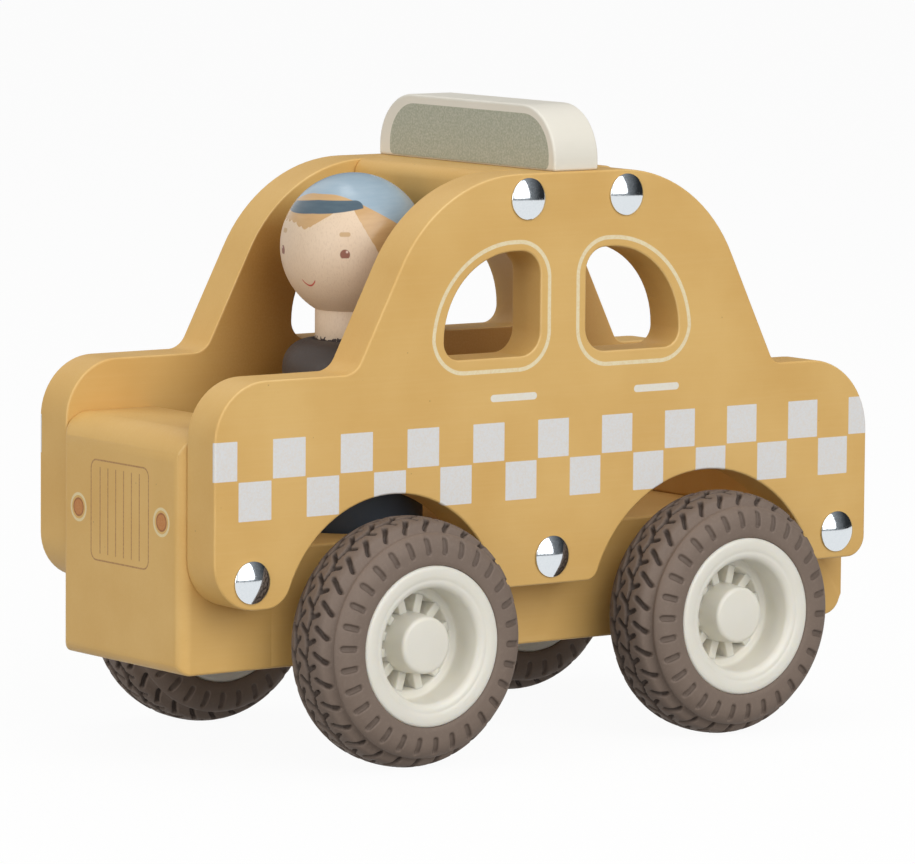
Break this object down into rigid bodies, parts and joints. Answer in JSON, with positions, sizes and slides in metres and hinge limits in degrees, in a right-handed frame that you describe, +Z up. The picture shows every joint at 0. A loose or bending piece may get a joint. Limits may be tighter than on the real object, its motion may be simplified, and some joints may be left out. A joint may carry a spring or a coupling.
{
  "type": "toy taxi",
  "caption": "Wooden toy taxi with side plates pinned to blocks, rubber-tyred wheels on steel axles, a roof sign and a lift-out peg driver.",
  "frame": {"origin": "on the floor under the middle of the car's bounding box", "axes": "+X forward, towards the nose; +Y to the car's left; +Z up"},
  "size_m": [0.181, 0.0974, 0.1398],
  "materials": {
    "mustard_painted_wood": "satin paint",
    "cream_painted_wood": "satin paint",
    "bare_wood": "satin varnish",
    "dark_painted_wood": "satin paint",
    "bright_metal": "polished",
    "axle_steel": "drawn",
    "bush_plastic": "matt",
    "rim_plastic": "satin",
    "tyre_rubber": "matt"
  },
  "bodies": {
    "car_body": {"left_side_plate": "mustard_painted_wood", "right_side_plate": "mustard_painted_wood", "bonnet_block": "mustard_painted_wood", "chassis_block": "mustard_painted_wood", "boot_block": "mustard_painted_wood", "roof_block": "mustard_painted_wood", "roof_sign": "cream_painted_wood", "bonnet_block_dowels": "bare_wood", "boot_block_dowels": "bare_wood", "roof_sign_dowels": "bare_wood", "left_dome_pins": "bright_metal", "right_dome_pins": "bright_metal", "front_left_bush": "bush_plastic", "front_right_bush": "bush_plastic", "rear_left_bush": "bush_plastic", "rear_right_bush": "bush_plastic"},
    "front_wheels": {"front_axle": "axle_steel", "front_left_rim": "rim_plastic", "front_right_rim": "rim_plastic", "front_left_tyre": "tyre_rubber", "front_right_tyre": "tyre_rubber"},
    "rear_wheels": {"rear_axle": "axle_steel", "rear_left_rim": "rim_plastic", "rear_right_rim": "rim_plastic", "rear_left_tyre": "tyre_rubber", "rear_right_tyre": "tyre_rubber"},
    "driver": {"driver_body": "dark_painted_wood", "driver_neck": "bare_wood", "driver_head": "bare_wood"}
  },
  "joints": [
    {"name": "front_axle_spin", "type": "hinge", "parent": "car_body", "child": "front_wheels", "pos_m": [0.04285, 0, 0.027], "axis": [0, 1, 0], "continuous": true},
    {"name": "rear_axle_spin", "type": "hinge", "parent": "car_body", "child": "rear_wheels", "pos_m": [-0.04256, 0, 0.027], "axis": [0, 1, 0], "continuous": true},
    {"name": "driver_lift", "type": "slide", "parent": "car_body", "child": "driver", "axis": [0, 0, 1], "range_m": [0, 0.095]}
  ]
}
